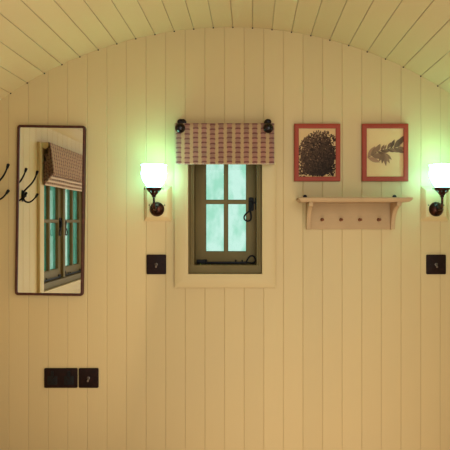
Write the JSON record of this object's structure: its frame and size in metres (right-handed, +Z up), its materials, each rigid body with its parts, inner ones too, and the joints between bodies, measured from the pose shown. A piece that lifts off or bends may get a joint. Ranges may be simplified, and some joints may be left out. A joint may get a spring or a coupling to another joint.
{
  "type": "shepherds hut end bay",
  "caption": "End bay of a shepherds hut: a boarded end wall with a casement window and wall fittings, side walls, a barrel roof and a floor on beams, open at one end.",
  "frame": {"origin": "middle of the bay on the level surface that its beams rest on", "axes": "+X to the right across the hut for someone inside who faces the window wall, +Y out through that wall, +Z up"},
  "size_m": [2.456, 1.766, 2.6298],
  "materials": {
    "bearer_timber": "rough sawn, treated",
    "floor_boards": "oiled boards",
    "frame_timber": "planed softwood",
    "lining_paint": "cream eggshell paint on boards",
    "cladding_paint": "sage green exterior paint on boards",
    "trim_paint": "cream exterior paint",
    "roof_metal": "corrugated steel, dark grey",
    "window_paint": "olive brown satin paint",
    "window_glass": "clear",
    "black_iron": "beeswaxed black",
    "blind_fabric": "printed linen",
    "bronze": "dark bronze",
    "shade_glass": "frosted, lit",
    "bulb": "lit",
    "dark_plate": "dark bronze plate",
    "shelf_paint": "chalky cream paint",
    "mirror_frame": "aged copper",
    "mirror": "polished",
    "picture_frame": "stained red brown",
    "print_paper": "matt print"
  },
  "bodies": {
    "root": {"chassis_beams": "bearer_timber", "floor_joists": "bearer_timber", "floor_boards": "floor_boards", "end_wall_frame": "frame_timber", "left_wall_frame": "frame_timber", "right_wall_frame": "frame_timber", "roof_ribs": "frame_timber", "end_wall_lining": "lining_paint", "left_wall_lining": "lining_paint", "right_wall_lining": "lining_paint", "ceiling_lining": "lining_paint", "skirting_board": "lining_paint", "window_architraves": "lining_paint", "lamp_blocks": "lining_paint", "end_wall_cladding": "cladding_paint", "left_wall_cladding": "cladding_paint", "right_wall_cladding": "cladding_paint", "eaves_boards": "trim_paint", "verge_board": "trim_paint", "corner_boards": "trim_paint", "roof_sheet": "roof_metal", "end_window_frame": "window_paint", "end_window_sash": "window_paint", "side_window_frame": "window_paint", "side_window_sashes": "window_paint", "end_window_panes": "window_glass", "side_window_panes": "window_glass", "window_catches": "black_iron", "coat_hooks": "black_iron", "shelf_hangers": "black_iron", "end_blind": "blind_fabric", "side_blind": "blind_fabric", "blind_brackets": "bronze", "lamp_fittings": "bronze", "lamp_shades": "shade_glass", "lamp_bulbs": "bulb", "light_switches": "dark_plate", "power_sockets": "dark_plate", "shelf_board": "shelf_paint", "peg_rail": "shelf_paint", "shelf_brackets": "shelf_paint", "mirror_frame": "mirror_frame", "mirror_glass": "mirror", "picture_frames": "picture_frame", "picture_prints": "print_paper"}
  },
  "joints": []
}
